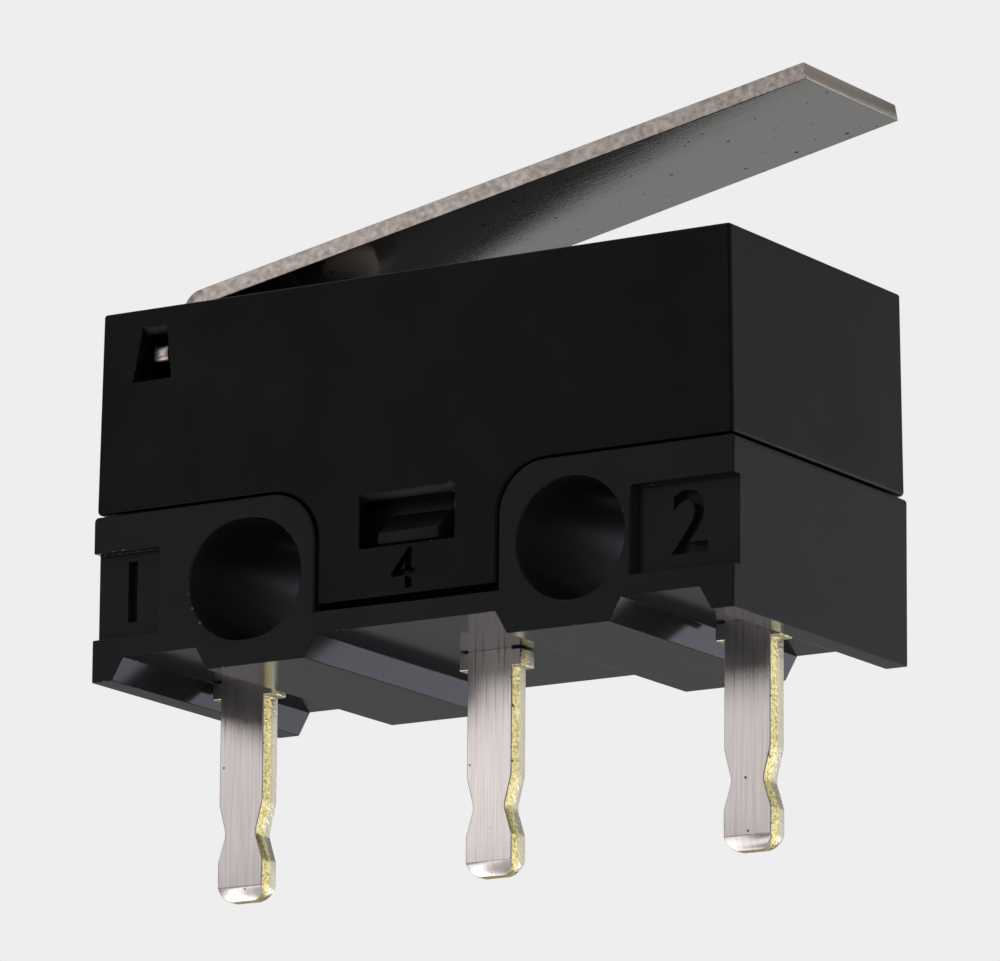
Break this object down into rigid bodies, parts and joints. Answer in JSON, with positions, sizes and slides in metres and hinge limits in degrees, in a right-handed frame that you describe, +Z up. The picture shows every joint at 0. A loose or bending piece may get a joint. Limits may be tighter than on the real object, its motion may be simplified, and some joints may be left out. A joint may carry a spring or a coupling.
{
  "type": "lever micro switch",
  "caption": "Subminiature snap-action switch: black moulded housing with mounting holes, a sprung steel hinge lever over its plunger, and flat printed-circuit terminals.",
  "frame": {"origin": "midway between the two mounting holes, on the housing's middle plane", "axes": "+X from the common terminal to the normally closed terminal and the lever's free end, +Y along the mounting holes from the front face to the back, +Z up to the lever"},
  "size_m": [0.0134, 0.0058, 0.013],
  "materials": {
    "black_plastic": "moulded, satin",
    "stainless_steel": "rolled bright, stamped edge",
    "brown_plastic": "moulded, satin",
    "plated_brass": "silver plated faces, bare sheared edges",
    "spring_bronze": "rolled strip",
    "contact_silver": "silver alloy, crowned"
  },
  "bodies": {
    "housing": {"base": "black_plastic", "cover": "black_plastic", "common_terminal": "plated_brass", "normally_open_terminal": "plated_brass", "normally_closed_terminal": "plated_brass", "normally_open_contact": "contact_silver", "normally_closed_contact": "contact_silver"},
    "lever": {"lever": "stainless_steel"},
    "plunger": {"plunger": "brown_plastic"},
    "leaf": {"snap_leaf": "spring_bronze", "upper_moving_contact": "contact_silver", "lower_moving_contact": "contact_silver"}
  },
  "joints": [
    {"name": "lever_hinge", "type": "hinge", "parent": "housing", "child": "lever", "pos_m": [-0.00527, 0, 0.00425], "axis": [0, 1, 0], "range_deg": [0, 9.3], "stiffness_Nm_per_rad": 0.0002, "springref_deg": -11.46},
    {"name": "plunger_slide", "type": "slide", "parent": "housing", "child": "plunger", "axis": [0, 0, -1], "range_m": [0, 0.000392]},
    {"name": "leaf_hinge", "type": "hinge", "parent": "housing", "child": "leaf", "pos_m": [-0.00545, 0, 0.0031], "axis": [0, 1, 0], "range_deg": [0, 2]}
  ],
  "couplings": [
    {"joint": "plunger_slide", "follows": "lever_hinge", "m_per_rad": 0.002415},
    {"joint": "leaf_hinge", "follows": "lever_hinge", "ratio": 0.21505}
  ]
}
